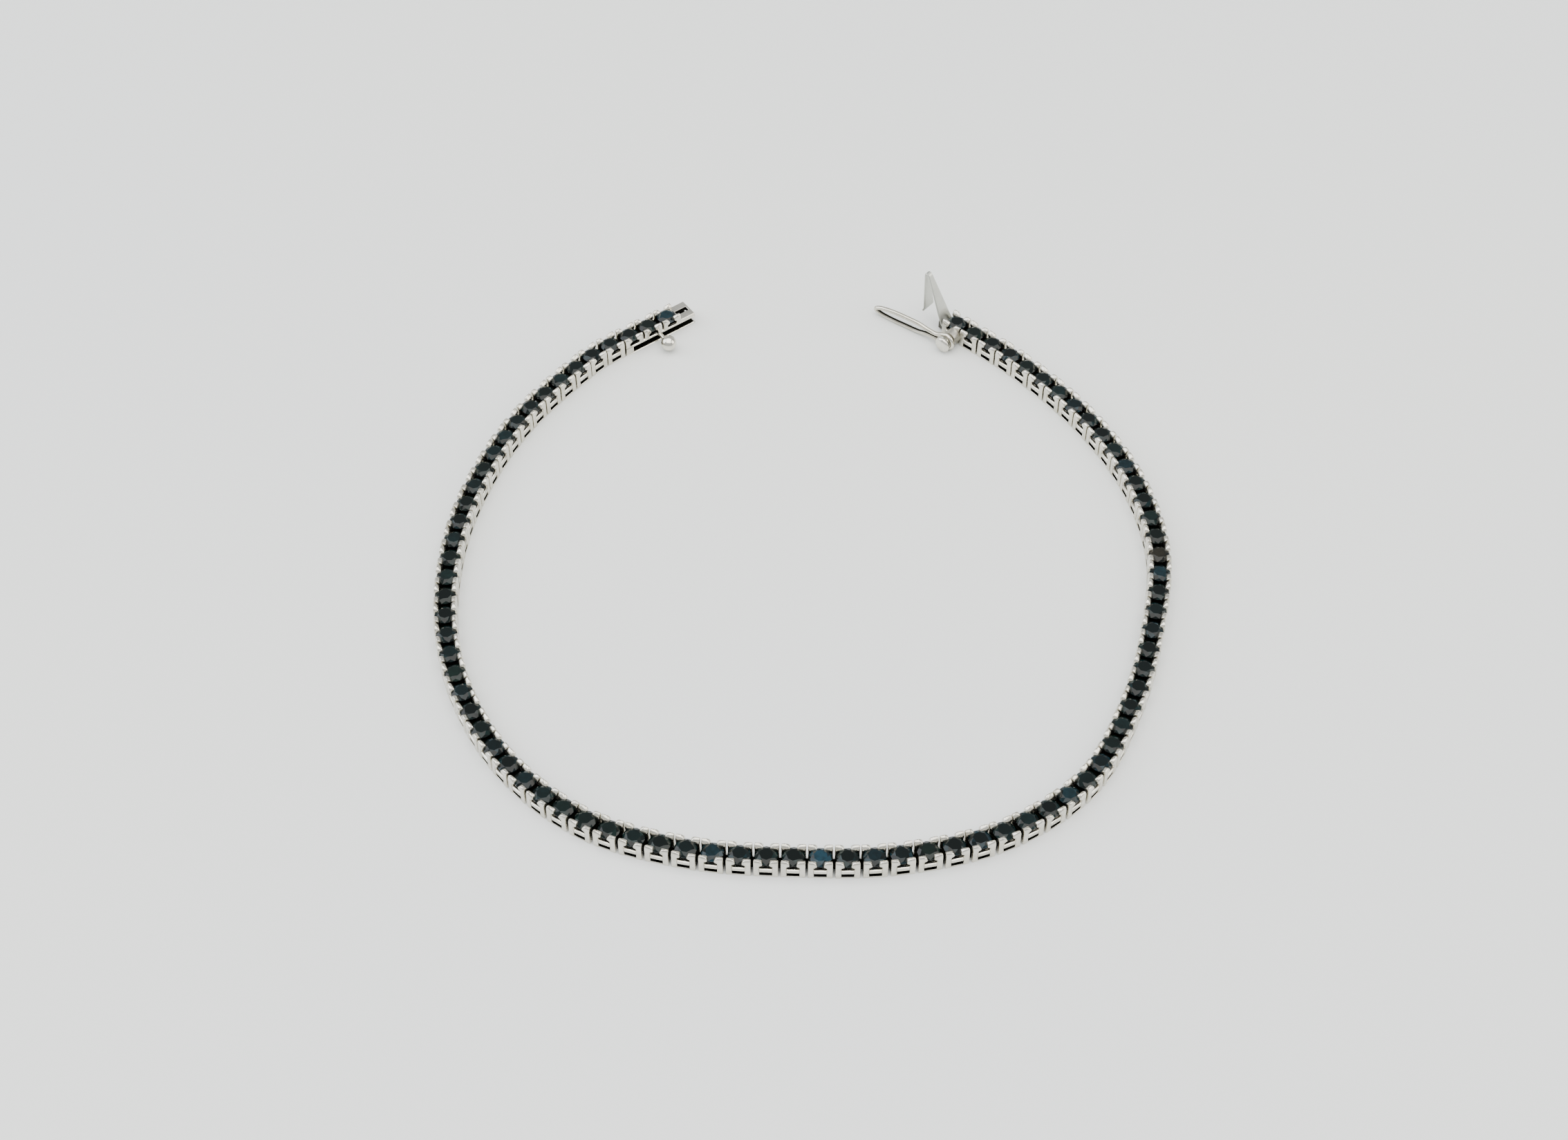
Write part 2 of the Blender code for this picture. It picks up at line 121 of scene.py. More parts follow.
def turned(profile, x, z, sides=28, paintedShadeShare=0.0):
    # A profile of place across the row and radius, turned about a line across the row at x and z
    across, radius = np.array(profile, float).T
    angle = np.linspace(0, 2 * math.pi, sides, endpoint=False)[None]
    rings = np.stack([
        x + radius[:, None] * np.sin(angle),
        np.broadcast_to(across[:, None], (len(across), sides)),
        z + radius[:, None] * np.cos(angle),
    ], -1)
    return lofted(rings, np.repeat(np.broadcast_to(paintedShadeShare, across.shape), sides))


def mirrored(shape, x, y):
    # The shape with x and y times plus or minus one; faces turn round where the mirroring flips them
    points, faces, paintedShadeShare = shape
    if x * y < 0:
        faces = [corners[:, ::-1] for corners in faces]
    return points * (x, y, 1), faces, paintedShadeShare


def makePiece(name, shape, body, material, stands=(), smooth=40):
    points, faces, paintedShadeShare = shape
    mesh = bpy.data.meshes.new(name)
    mesh.from_pydata(points.tolist(), [], [face for corners in faces for face in corners.tolist()])
    mesh.attributes.new("paintedShadeShare", "FLOAT", "POINT").data.foreach_set("value", paintedShadeShare.astype(np.float32))
    if smooth:
        mesh.shade_smooth()
        mesh.set_sharp_from_angle(angle=math.radians(smooth))
    mesh.materials.append(material)
    piece = bpy.data.objects.new(name, mesh)
    bpy.context.scene.collection.objects.link(piece)
    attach(piece, body)
    if stands:
        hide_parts(*stands)
    print("made", name, len(mesh.polygons), "faces")
    return piece


# Materials

def addNode(tree, kind, inputs, **settings):
    # A node with its settings; each input takes a value or another node's output
    node = tree.nodes.new(kind)
    for name, value in settings.items():
        setattr(node, name, value)
    for name, value in inputs.items():
        if isinstance(value, bpy.types.NodeSocket):
            tree.links.new(value, node.inputs[name])
        else:
            node.inputs[name].default_value = value
    return node


def newMaterial(name):
    material = bpy.data.materials.new(name)
    material.use_nodes = True
    tree = material.node_tree
    return material, tree, tree.nodes["Principled BSDF"]


def mixColour(tree, share, first, second):
    return addNode(tree, "ShaderNodeMix", {0: share, 6: first, 7: second}, data_type="RGBA").outputs[2]


def spread(tree, value, low, high):
    return addNode(tree, "ShaderNodeMapRange", {"Value": value, "To Min": low, "To Max": high}).outputs[0]


def noise(tree, place, sizeMm, detail=3.0, stretch=(1, 1, 1)):
    # Noise whose lumps are about sizeMm across, drawn out along an axis by the stretch
    mapping = addNode(tree, "ShaderNodeMapping", {"Vector": place, "Scale": tuple(1 / (sizeMm * mm * s) for s in stretch)})
    return addNode(tree, "ShaderNodeTexNoise", {"Vector": mapping.outputs[0], "Scale": 1.0, "Detail": detail}).outputs["Fac"]


def metalMaterial(name, look):
    # Cast silver, tumbled and polished: the open faces mirror softly with faint polishing lines,
    # and points that carry painted shade are mixed towards a dark painted shade colour and made duller, standing in for
    # the shade in hollows and between parts
    material, tree, shader = newMaterial(name)
    place = addNode(tree, "ShaderNodeTexCoord", {}).outputs["Object"]
    paintedShade = addNode(tree, "ShaderNodeAttribute", {}, attribute_name="paintedShadeShare").outputs["Fac"]
    cloud = noise(tree, place, look["cloudMm"])
    grain = noise(tree, place, look["grainMm"], 2.0)
    lines = noise(tree, place, look["lineMm"], 2.0, (1, 1, 14))
    metal = mixColour(tree, cloud, hexColour(look["light"]), hexColour(look["shade"]))
    # Painted shade: the base colour goes towards the dark painted shade colour by each point's painted shade share
    tree.links.new(mixColour(tree, paintedShade, metal, hexColour(look["paintedShade"])), shader.inputs["Base Color"])
    polish = spread(tree, grain, *look["roughness"])
    dull = addNode(tree, "ShaderNodeMath", {0: paintedShade, 1: 0.4}, operation="MULTIPLY").outputs[0]
    rough = addNode(tree, "ShaderNodeMath", {0: polish, 1: dull}, operation="ADD").outputs[0]
    tree.links.new(rough, shader.inputs["Roughness"])
    cast = addNode(tree, "ShaderNodeBump", {"Height": grain, "Strength": 0.35, "Distance": look["castMm"] * mm})
    rubbed = addNode(tree, "ShaderNodeBump", {
        "Height": lines, "Strength": 0.3, "Distance": look["castMm"] * mm / 2, "Normal": cast.outputs[0],
    })
    tree.links.new(rubbed.outputs[0], shader.inputs["Normal"])
    shader.inputs["Metallic"].default_value = 1.0
    return material


# Each look's painted shade colour is the dark stand-in for shade in hollows and between parts
chainLook = {"light": "#ece9e1", "shade": "#bcb8a8", "paintedShade": "#0d0e09", "roughness": (0.16, 0.34),
             "cloudMm": 1.1, "grainMm": 0.16, "lineMm": 0.035, "castMm": 0.012}
boxLook = dict(chainLook, roughness=(0.12, 0.26))
springLook = {"light": "#c9cac4", "shade": "#aeb0a8", "paintedShade": "#23241c", "roughness": (0.26, 0.42),
              "cloudMm": 1.6, "grainMm": 0.1, "lineMm": 0.03, "castMm": 0.008}
wireLook = {"light": "#e6e2d8", "shade": "#b3ae9a", "paintedShade": "#14140c", "roughness": (0.12, 0.28),
            "cloudMm": 0.9, "grainMm": 0.12, "lineMm": 0.04, "castMm": 0.008}

castSilver = metalMaterial("castRhodiumSilver", chainLook)
polishedSilver = metalMaterial("polishedRhodiumSilver", boxLook)
springSilver = metalMaterial("rolledSpringSilver", springLook)
wireSilver = metalMaterial("drawnSilverWire", wireLook)

stoneLook = {"deep": "#040908", "green": "#0b1a15", "teal": "#0d1f22", "blue": "#152e39", "brown": "#26221a",
             "roughness": 0.06, "ior": 1.77, "mirror": 0.13}


def stoneMaterial(look):
    # Cut and polished dark sapphire: the base colour is near black, and a painted facet light share lifts a few facets
    # towards green, teal or blue, standing in for light the facets send back;
    # a noise breaks that painted light up so they are not one flat colour
    material, tree, shader = newMaterial("darkCutSapphire")
    place = addNode(tree, "ShaderNodeTexCoord", {}).outputs["Object"]
    lit = addNode(tree, "ShaderNodeAttribute", {}, attribute_name="facetLight").outputs["Fac"]
    tint = addNode(tree, "ShaderNodeAttribute", {}, attribute_name="stoneTint").outputs["Fac"]
    ramp = addNode(tree, "ShaderNodeValToRGB", {"Fac": tint})
    stops = ramp.color_ramp.elements
    stops[0].position, stops[0].color = 0.0, hexColour(look["green"])
    stops[1].position, stops[1].color = 1.0, hexColour(look["brown"])
    stops.new(0.45).color = hexColour(look["teal"])
    stops.new(0.85).color = hexColour(look["blue"])
    mottledFacetLight = addNode(tree, "ShaderNodeMath", {0: lit, 1: noise(tree, place, 0.5)}, operation="MULTIPLY")
    shown = spread(tree, mottledFacetLight.outputs[0], 0.0, 2.2)
    tree.links.new(mixColour(tree, shown, hexColour(look["deep"]), ramp.outputs[0]), shader.inputs["Base Color"])
    shader.inputs["Roughness"].default_value = look["roughness"]
    shader.inputs["IOR"].default_value = look["ior"]
    shader.inputs["Specular IOR Level"].default_value = look["mirror"]
    return material


sapphire = stoneMaterial(stoneLook)
print("materials ready")


# Places of the stones

row = {"pitch": 2.16, "stones": 81, "boxStones": 3, "route": [
    (-13.0, 30.0), (-16.7, 27.3), (-20.2, 24.4), (-25.5, 17.5), (-29.0, 10.0), (-30.9, 1.9),
    (-30.9, -7.1), (-28.7, -15.3), (-24.2, -22.7), (-17.7, -28.1), (-9.6, -30.8), (-1.1, -31.6),
    (7.5, -31.4), (16.0, -29.1), (23.0, -24.0), (27.3, -16.3), (29.9, -8.0), (31.2, 0.5),
    (29.8, 8.9), (26.1, 16.7), (20.8, 23.5), (16.1, 27.9), (12.9, 30.7),
]}


def smoothRoute(points, steps):
    # Catmull-Rom: each span is a cubic in t through its own two points, steered by one neighbour on each side
    ends = np.concatenate([points[:1], points, points[-1:]])
    p0, p1, p2, p3 = (ends[k:k + len(points) - 1, None] for k in range(4))
    t = np.linspace(0, 1, steps, endpoint=False)[None, :, None]
    curve = p1 + ((p2 - p0) * t + (p0 * 2 - p1 * 5 + p2 * 4 - p3) * t ** 2 + (p1 * 3 - p0 - p2 * 3 + p3) * t ** 3) / 2
    return np.concatenate([curve.reshape(-1, points.shape[1]), points[-1:]])


def framesOf(origins, directions):
    # X is the direction, Y is X turned a quarter to the left, Z is up
    along = directions / np.linalg.norm(directions, axis=1, keepdims=True)
    frames = np.zeros((len(origins), 3, 4))
    frames[:, :2, 0] = along
    frames[:, 0, 1] = -along[:, 1]
    frames[:, 1, 1] = along[:, 0]
    frames[:, 2, 2] = 1
    frames[:, :2, 3] = origins * mm
    return frames


def rowFrames(row):
    # Places one pitch apart along the route; each link points from the stone before it to the stone after it.
    # The stones on the box clasp lie on a straight line
    line = smoothRoute(np.array(row["route"]), 60)
    line = np.concatenate([line, line[-1:] + (line[-1:] - line[-2:-1]) * 200])
    gone = np.concatenate([[0], np.cumsum(np.linalg.norm(np.diff(line, axis=0), axis=1))])
    wanted = np.arange(row["stones"] + 1) * row["pitch"]
    places = np.stack([np.interp(wanted, gone, line[:, k]) for k in range(2)], -1)
    before = np.concatenate([places[:1], places[:-2]])
    directions = places[1:] - before
    places = places[:-1].copy()
    box = row["boxStones"]
    straight = places[box - 1] - places[0]
    shares = (np.arange(box) - (box - 1) / 2)[:, None] * row["pitch"] / np.linalg.norm(straight)
    places[:box] = (places[0] + places[box - 1]) / 2 + shares * straight
    directions[:box] = straight
    return framesOf(places, directions)


frames = rowFrames(row)
boxFrame = frames[:1]
endFrame = frames[-1:]


# Links

link = {"halfLength": 1.0, "halfWidth": 1.025, "stemInner": 0.50, "stemInnerY": 0.60, "lipInner": 0.26,
        "lipInnerY": 0.52, "lipHeight": 1.50, "slotLow": 0.16, "slotHigh": 0.54, "railTop": 0.97, "railDepth": 0.36,
        "coreHalf": 0.50, "lowRailDepth": 0.07, "tabHalf": 0.45, "tabLow": 0.44, "tabHigh": 0.64, "footInset": 0.03, "darkHalf": 0.64}


def prong(link, bottom):
    # A corner post: upright sides, then a lip that leans over the stone and is rounded off to its top
    outX, outY = link["halfLength"], link["halfWidth"]
    inX, inY, lipX, lipY = link["stemInner"], link["stemInnerY"], link["lipInner"], link["lipInnerY"]
    lip, top, foot = link["lipHeight"], prongTop, link["footInset"]
    return column([
        (bottom, inX, outX - foot, inY, outY - foot),
        (bottom + foot, inX, outX, inY, outY),
        (lip - 0.14, inX, outX, inY, outY),
        (lip, lipX, outX, lipY, outY),
        (lip + 0.12, lipX, outX, lipY, outY - 0.01),
        (lip + 0.26, lipX + 0.07, outX, lipY + 0.06, outY - 0.03),
        (lip + 0.38, lipX + 0.18, outX - 0.01, lipY + 0.16, outY - 0.08),
        (top - 0.03, lipX + 0.33, outX - 0.04, lipY + 0.27, outY - 0.15),
        (top, lipX + 0.44, outX - 0.09, lipY + 0.35, outY - 0.22),
    ], 0.09)


def prongs(link, bottom):
    return joined([mirrored(prong(link, bottom), x, y) for x in (-1, 1) for y in (-1, 1)])


def linkShape(link):
    # Four prongs, two rails on each side with a slot between them, end walls and a core under the stone painted dark
    # with shade, and painted shade on the underside and the tab
    long, wide, stem = link["halfLength"], link["halfWidth"], link["stemInner"] + 0.05
    depth = wide - link["railDepth"]
    lowRail = block((-stem, wide - 0.02 - link["lowRailDepth"], 0.01), (stem, wide - 0.02, link["slotLow"]), 0.02)
    highRail = block((-stem, depth, link["slotHigh"]), (stem, wide - 0.02, link["railTop"]), 0.05)
    wall = block((link["stemInner"] + 0.02, -link["stemInnerY"] - 0.1, 0.03), (long - 0.02, link["stemInnerY"] + 0.1, 0.95), 0.03, 1.0)
    core = block((-stem, -link["coreHalf"], 0.04), (stem, link["coreHalf"], 0.90), 0.03, 1.0)
    tab = block((long - 0.15, -link["tabHalf"], link["tabLow"]), (long + 0.36, link["tabHalf"], link["tabHigh"]), 0.04, 0.6)
    under = block((-long + 0.05, -wide + 0.08, 0.01), (long - 0.05, wide - 0.08, 0.07), 0.02, 1.0)
    sides = [mirrored(rail, 1, y) for rail in (lowRail, highRail) for y in (-1, 1)]
    return darkened(joined([prongs(link, 0.0), *sides, wall, mirrored(wall, -1, 1), core, under, tab]), link)


def darkened(shape, link):
    # Painted shade fades in from a line near the side towards the middle, below the height of the lips: the dark shade
    # in the channel between the stones
    points, faces, paintedShadeShare = shape
    inward = np.clip((link["darkHalf"] - np.abs(points[:, 1])) / 0.12, 0, 1)
    below = np.clip((link["lipHeight"] - 0.08 - points[:, 2]) / 0.1, 0, 1)
    return points, faces, np.maximum(paintedShadeShare, inward * below)


linkModel = linkShape(link)
middle = (row["stones"] + row["boxStones"]) // 2
makePiece("chain_left_links", placed(linkModel, frames[row["boxStones"]:middle]), "bracelet", castSilver, ["chain_left"])
makePiece("chain_right_links", placed(linkModel, frames[middle:-1]), "bracelet", castSilver, ["chain_right"])


# Stones

stone = {"radius": 0.93, "table": 0.60, "star": 0.82, "girdleZ": 1.40, "girdle": 0.05, "crown": 0.27, "pavilion": 0.48,
         "blueStone": 42, "brownStone": 65, "tableLight": 0.6, "seed": 7}


def stoneShape(stone):
    # A round brilliant: an 8-sided table, 8 star points between it and the rim, 16 rim points twice, and the culet.
    # Every ring point is a radius times the cosine and sine of its angle
    eighth = np.arange(8) * math.pi / 4
    sixteenth = np.arange(16) * math.pi / 8
    radius, low = stone["radius"], stone["girdleZ"]
    high = low + stone["girdle"]

    def ring(angle, share, z):
        return np.stack([radius * share * np.cos(angle), radius * share * np.sin(angle), np.full(len(angle), z)], -1)

    points = np.concatenate([
        ring(eighth, stone["table"], high + stone["crown"]),
        ring(eighth + math.pi / 8, stone["star"], high + stone["crown"] * 0.58),
        ring(sixteenth, 1.0, high), ring(sixteenth, 1.0, low), [[0, 0, low - stone["pavilion"]]],
    ])
    k, n = np.arange(8), np.arange(16)
    table, star, rim, under, culet = k, 8 + k, 16, 32, 48
    after, before, follow = (k + 1) % 8, (k - 1) % 8, (n + 1) % 16
    stars = np.stack([table, star, after], -1)
    kites = np.stack([table, 8 + before, rim + 2 * k, star], -1)
    leftHalves = np.stack([star, rim + 2 * k, rim + 2 * k + 1], -1)
    rightHalves = np.stack([star, rim + 2 * k + 1, rim + (2 * k + 2) % 16], -1)
    girdle = np.stack([rim + n, under + n, under + follow, rim + follow], -1)
    pavilion = np.stack([under + n, np.full(16, culet), under + follow], -1)
    return points, [table[None], stars, kites, leftHalves, rightHalves, girdle, pavilion], np.zeros(len(points))


def addStones(name, frames, firstStone):
    # Each stone is turned by its own angle; its facets' painted light and its tint are shares drawn from a fixed seed
    numbers = np.arange(firstStone, firstStone + len(frames))
    draw = np.random.default_rng(stone["seed"] + firstStone)
    turn = draw.uniform(0, math.pi / 4, len(frames))
    spun = frames.copy()
    cos, sin = np.cos(turn)[:, None], np.sin(turn)[:, None]
    spun[:, :, 0] = frames[:, :, 0] * cos + frames[:, :, 1] * sin
    spun[:, :, 1] = frames[:, :, 1] * cos - frames[:, :, 0] * sin
    model = stoneShape(stone)
    piece = makePiece(name, placed(model, spun), "bracelet", sapphire, smooth=0)
    tint = draw.uniform(0, 0.7, len(frames))
    tint[numbers == stone["blueStone"]] = 0.85
    tint[numbers == stone["brownStone"]] = 1.0
    # Painted facet light: each facet's share of painted reflected light, with the tables dimmer and stone 42's table
    # lit brightly
    lit = draw.uniform(0, 1, (len(piece.data.polygons),)) ** 2
    lit[:len(frames)] *= stone["tableLight"]
    lit[:len(frames)][numbers == stone["blueStone"]] = 0.8
    perGroup = [np.repeat(tint, len(corners)) for corners in model[1]]
    piece.data.attributes.new("stoneTint", "FLOAT", "FACE").data.foreach_set("value", np.concatenate(perGroup).astype(np.float32))
    piece.data.attributes.new("facetLight", "FLOAT", "FACE").data.foreach_set("value", lit.astype(np.float32))


addStones("stones_left", frames[:middle], 1)
addStones("stones_right", frames[middle:], middle + 1)


# Box clasp

box = {"end": -2.60, "wall": 0.30, "base": 0.10, "deckLow": 0.80, "deck": 1.00, "windowTop": 0.78, "plateTop": 1.25,
       "plateStart": -2.58, "plateEnd": -0.66, "holeLow": -2.34, "holeHigh": -1.12, "holeHalf": 0.25,
       "ballRadius": 0.74, "ballX": 1.60, "ballY": 2.68, "postRadius": 0.22, "pinZ": 0.95}


def plateWithHole(box, halfWidth):
    # A frame of four bars carried round the rectangular hole: outer, top, inner and bottom edge on each ring
    outer = [(box["plateEnd"], halfWidth), (box["plateStart"], halfWidth), (box["plateStart"], -halfWidth), (box["plateEnd"], -halfWidth)]
    inner = [(box["holeHigh"], box["holeHalf"]), (box["holeLow"], box["holeHalf"]), (box["holeLow"], -box["holeHalf"]), (box["holeHigh"], -box["holeHalf"])]
    out, hole = np.array(outer), np.array(inner)
    low, high, edge = box["deckLow"], box["plateTop"], 0.05
    towards = (hole - out) / np.abs(hole - out)
    loops = [(out, low), (out, high - edge), (out + towards * edge, high), (hole - towards * edge, high), (hole, high - edge), (hole, low)]
    rings = np.stack([np.concatenate([loop, np.full((4, 1), z)], 1) for loop, z in loops], 1)
    # Painted shade: the hole's walls are fully painted and the edge round it a little, standing in for the shade inside
    # the hole
    return lofted(rings[::-1], np.tile([0, 0, 0, 0.2, 1.0, 1.0], 4), closedPath=True)


def boxShape(box, link):
    # Base, two long walls with a window in the inner one, a deck with the prongs on it, and the plate over the open end
    end, last, wide, wall = box["end"], (row["boxStones"] - 1) * row["pitch"] + link["halfLength"], link["halfWidth"], box["wall"]
    parts = [
        block((end, -wide, 0.0), (last, wide, box["base"]), 0.04),
        block((end, -wide, 0.05), (last, -wide + wall, box["deck"]), 0.05),
        block((-1.1, wide - wall, box["windowTop"]), (last, wide, box["deck"]), 0.05),
        block((last - 0.85, wide - wall, 0.05), (last, wide, box["deck"]), 0.05),
        # Painted shade: the deck's underside, a sheet inside the far wall and a sheet on the base are painted fully
        # dark, and the back wall partly, standing in for the shade inside the box seen through the window
        block((-1.0, -wide + 0.06, box["deckLow"]), (last - 0.03, wide - 0.06, box["deck"] - 0.02), 0.03, 1.0),
        block((last - 0.5, -wide + 0.1, 0.05), (last - 0.02, wide - 0.1, box["deck"] - 0.04), 0.04, 0.7),
        block((box["plateStart"], wide - wall, box["windowTop"]), (box["plateEnd"], wide - 0.02, box["deckLow"] + 0.1), 0.04),
        block((end + 0.1, -wide + wall - 0.05, box["base"] - 0.05), (last - 0.4, -wide + wall + 0.02, box["deckLow"] + 0.05), 0.01, 1.0),
        block((end + 0.1, -wide + wall, box["base"] - 0.05), (last - 0.4, wide - 0.12, box["base"] + 0.012), 0.01, 1.0),
        plateWithHole(box, wide - 0.03),
    ]
    tops = prongs(link, box["deck"] - 0.06)
    for k in range(row["boxStones"]):
        shift = np.array([k * row["pitch"], 0, 0])
        parts.append((tops[0] + shift, tops[1], tops[2]))
    tab = block((last - 0.15, -link["tabHalf"], link["tabLow"]), (last + 0.36, link["tabHalf"], link["tabHigh"]), 0.04, 0.6)
    return joined([*parts, tab, snapBall(box)])


def snapBall(box):
    # A rod from the box's side and a ball on it: the ball's radius follows a half circle along the rod's line
    radius, centre = box["ballRadius"], box["ballY"]
    angle = np.radians(np.linspace(17, 178, 16))
    ball = [(centre - radius * math.cos(a), radius * math.sin(a)) for a in angle]
    return turned([(0.85, box["postRadius"]), *ball], box["ballX"], box["pinZ"], 28)


makePiece("box_clasp", placed(boxShape(box, link), boxFrame), "bracelet", polishedSilver, ["clasp_box"])


# Tongue end

tongue = {"root": (0.78, 0.58), "bend": (1.28, 0.92), "tip": (3.70, 5.45), "free": (3.45, 1.50), "foldRadius": 0.20,
          "thickness": 0.20, "baseWidth": 1.55, "tipWidth": 0.52, "edge": 0.05}
pin = {"x": -0.50, "z": 0.95, "radius": 0.25, "collarRadius": 0.74, "collarEnd": 1.80, "headStart": 2.68, "collarPaintedShade": 0.35,
       "headThickness": 0.46, "headRadius": 0.80}


def tongueLine(tongue, samples):
    # Straight up the long leaf, half a circle at the fold and down the free leaf, evenly sampled;
    # then each point is averaged with its neighbours a few times, which rounds the bends
    root, bend, tip, free = (np.array(tongue[k]) for k in ("root", "bend", "tip", "free"))
    up = (tip - bend) / np.linalg.norm(tip - bend)
    side = np.array([up[1], -up[0]]) * tongue["foldRadius"]
    angle = np.linspace(0, math.pi, 7)[:, None]
    fold = tip - side * np.cos(angle) + up * tongue["foldRadius"] * np.sin(angle)
    corners = np.concatenate([[root, bend], fold, [free, free + (free - tip) * 0.02 + side]])
    gone = np.concatenate([[0], np.cumsum(np.linalg.norm(np.diff(corners, axis=0), axis=1))])
    even = np.linspace(0, gone[-1], samples)
    line = np.stack([np.interp(even, gone, corners[:, k]) for k in range(2)], -1)
    for _ in range(2):
        line[1:-1] = (line[:-2] + line[1:-1] * 2 + line[2:]) / 4
    return line


def tongueShape(tongue):
    # A rounded flat section carried along the line; its width narrows with height
    line = tongueLine(tongue, 72)
    along = np.gradient(line, axis=0)
    along /= np.linalg.norm(along, axis=1, keepdims=True)
    normal = np.stack([-along[:, 1], along[:, 0]], -1)
    height = np.clip((line[:, 1] - tongue["bend"][1]) / (tongue["tip"][1] - tongue["bend"][1]), 0, 1)
    half = (tongue["baseWidth"] + (tongue["tipWidth"] - tongue["baseWidth"]) * height) / 2
    thick, edge = tongue["thickness"] / 2, tongue["edge"]
    across = np.stack([half, half - edge, -half + edge, -half, -half, -half + edge, half - edge, half], -1)
    out = np.array([thick - edge, thick, thick, thick - edge, edge - thick, -thick, -thick, edge - thick])[None]
    x = line[:, :1] + normal[:, :1] * out
    z = line[:, 1:] + normal[:, 1:] * out
    rings = np.stack([x, across, z], -1)
    return lofted(rings, 0.0)


def pinShapes(pin):
    # Pin, collar and domed head of the safety catch, turned about the line that the catch swings on
    start, thickness, radius = pin["headStart"], pin["headThickness"], pin["headRadius"]
    angle = np.radians(np.linspace(8, 90, 8))
    dome = [(start + 0.12 + (thickness - 0.12) * math.sin(a), radius * math.cos(a) + 0.002) for a in angle]
    head = [(start, radius * 0.6), (start + 0.03, radius * 0.96), (start + 0.08, radius), *dome]
    collar = [(0.85, pin["collarRadius"] - 0.03), (pin["collarEnd"] - 0.05, pin["collarRadius"]), (pin["collarEnd"], pin["collarRadius"] - 0.06)]
    rod = [(1.2, pin["radius"]), (start + 0.05, pin["radius"])]
    # Painted shade: the collar is partly painted dark with shade
    paintedShadeShares = (0.0, pin["collarPaintedShade"], 0.0)
    return [turned(profile, pin["x"], pin["z"], 28, paintedShade) for profile, paintedShade in zip((rod, collar, head), paintedShadeShares)]


# Painted shade: a block at the tongue's root, painted mostly dark, standing in for the shaded gap at the tongue's base
root = block((0.95, -0.60, 0.18), (1.75, 0.60, 1.02), 0.05, 0.85)
makePiece("tongue_end_link", placed(joined([linkModel, root, *pinShapes(pin)]), endFrame), "bracelet", castSilver, ["clasp_tongue"])
makePiece("spring_tongue", placed(tongueShape(tongue), endFrame), "bracelet", springSilver)


# Safety catch

catch = {"wireRadius": 0.22, "eye": 0.75, "waistX": 1.18, "waistHalf": 0.29, "length": 8.0, "halfHeight": 0.53,
         "swayIn": 0.75, "droop": 0.25,
         "lobe": [(0.27, 0.56), (0.40, 0.93), (0.58, 1.00), (0.76, 0.97), (0.90, 0.74), (0.975, 0.36)]}


def catchShape(catch):
    # A closed smooth line through the eye, the waist and the long lobe, above and below;
    # the wire is a circle carried along it, with one axis in the line's plane and one across it.
    # Towards the free end it droops in proportion to the length and sways in by a power of it.
    # The side of the wire that faces into the lobe is painted with shade, standing in for the dark seen between the
    # wires
    angle = np.radians([150, 120, 90, 60])
    eye = np.stack([np.cos(angle), np.sin(angle)], -1) * catch["eye"]
    lobe = np.array(catch["lobe"]) * (catch["length"], catch["halfHeight"])
    upper = np.concatenate([eye, [[catch["waistX"], catch["waistHalf"]]], lobe])
    outline = np.concatenate([[[-catch["eye"], 0]], upper, [[catch["length"], 0]], upper[::-1] * (1, -1)])
    lapped = np.concatenate([outline[-2:], outline, outline[:3]])
    steps = 6
    line = smoothRoute(lapped, steps)[2 * steps:(2 + len(outline)) * steps]
    along = np.roll(line, -1, axis=0) - np.roll(line, 1, axis=0)
    along /= np.linalg.norm(along, axis=1, keepdims=True)
    round_ = np.linspace(0, 2 * math.pi, 12, endpoint=False)[None]
    radius = catch["wireRadius"]
    x = line[:, :1] + along[:, 1:] * np.cos(round_) * radius
    # Painted shade share on the inward-facing side of the wire
    inside = np.clip(np.cos(round_) * 2.5 - 1.2, 0, 1) * np.clip(line[:, :1] / 1.5, 0, 1)
    far = np.clip(line[:, :1] / catch["length"], 0, 1)
    z = line[:, 1:] - along[:, :1] * np.cos(round_) * radius - catch["droop"] * far
    y = np.sin(round_) * radius + catch["swayIn"] * far ** 1.5
    return lofted(np.stack([x, y, z], -1), inside.ravel(), closedPath=True)


catchFrame = endFrame.copy()
catchFrame[0, :, 3] = hinge["pos_m"]
makePiece("safety_catch_wire", placed(catchShape(catch), catchFrame), "catch", wireSilver, ["safety_catch"])


# Table, lights and camera

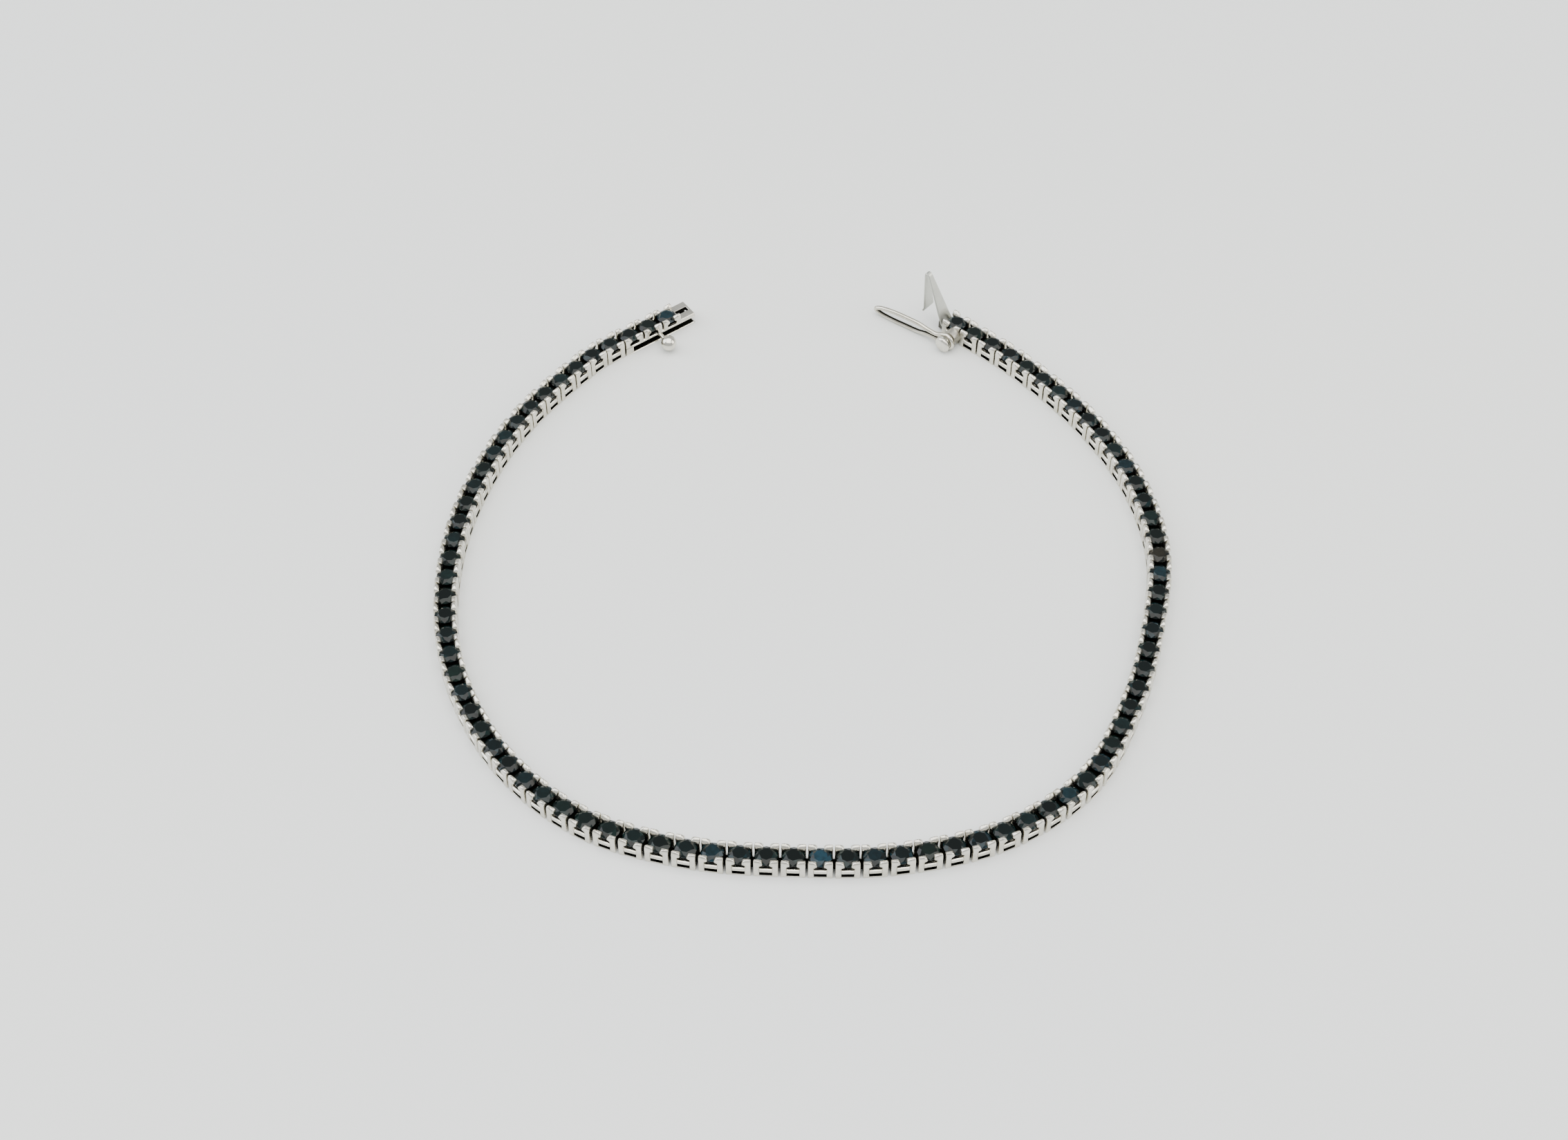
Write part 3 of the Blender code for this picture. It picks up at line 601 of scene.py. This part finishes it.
table = {"halfSize": 1.2, "colour": "#e3e5e1", "cool": "#dcdfe2", "roughness": 0.42}
lights = [
    {"name": "ceilingBox", "place": (0.0, -0.10, 0.75), "aim": (0, 0, 0), "size": 1.0, "power": 12.5, "colour": "#fffdf8"},
    {"name": "leftBox", "place": (-0.70, 0.10, 0.42), "aim": (0, 0, 0), "size": 0.6, "power": 4.6, "colour": "#f6f9ff"},
    {"name": "rightBox", "place": (0.72, -0.05, 0.36), "aim": (0, 0, 0), "size": 0.5, "power": 3.0, "colour": "#fffaf2"},
]
air = {"colour": "#e9ecee", "strength": 0.90}
camera = {"place": (-0.00177, -0.14055, 0.16587), "down": 49.83, "focalPx": 3562.0, "widthPx": 2268.0}


def tableMaterial(table):
    # Matt white laminate: nearly even, with a slow drift from warm to cool and a faint sheen
    material, tree, shader = newMaterial("paleLaminate")
    place = addNode(tree, "ShaderNodeTexCoord", {}).outputs["Object"]
    drift = noise(tree, place, 90.0, 1.0)
    fine = noise(tree, place, 0.5, 2.0)
    tree.links.new(mixColour(tree, drift, hexColour(table["colour"]), hexColour(table["cool"])), shader.inputs["Base Color"])
    tree.links.new(spread(tree, fine, table["roughness"], table["roughness"] + 0.1), shader.inputs["Roughness"])
    return material


def makeTable(table):
    half = table["halfSize"]
    mesh = bpy.data.meshes.new("tableTop")
    mesh.from_pydata([(-half, -half, 0), (half, -half, 0), (half, half, 0), (-half, half, 0)], [], [(0, 1, 2, 3)])
    mesh.materials.append(tableMaterial(table))
    floor = bpy.data.objects.new("tableTop", mesh)
    bpy.context.scene.collection.objects.link(floor)


def addLight(light):
    data = bpy.data.lights.new(light["name"], "AREA")
    data.size = light["size"]
    data.energy = light["power"]
    data.color = hexColour(light["colour"])[:3]
    lamp = bpy.data.objects.new(light["name"], data)
    bpy.context.scene.collection.objects.link(lamp)
    from mathutils import Vector
    lamp.location = light["place"]
    lamp.rotation_euler = (Vector(light["aim"]) - Vector(light["place"])).to_track_quat("-Z", "Y").to_euler()


makeTable(table)
for light in lights:
    addLight(light)
world = bpy.data.worlds.new("studioAir")
world.use_nodes = True
world.node_tree.nodes["Background"].inputs["Color"].default_value = hexColour(air["colour"])
world.node_tree.nodes["Background"].inputs["Strength"].default_value = air["strength"]
bpy.context.scene.world = world

lens = bpy.data.cameras.new("photoCamera")
lens.sensor_width = 36.0
lens.lens = camera["focalPx"] / camera["widthPx"] * lens.sensor_width
lens.clip_start = 0.005
viewer = bpy.data.objects.new("photoCamera", lens)
viewer.location = camera["place"]
viewer.rotation_euler = (math.radians(90 - camera["down"]), 0, 0)
bpy.context.scene.collection.objects.link(viewer)
bpy.context.scene.camera = viewer
print("table, lights and camera ready")
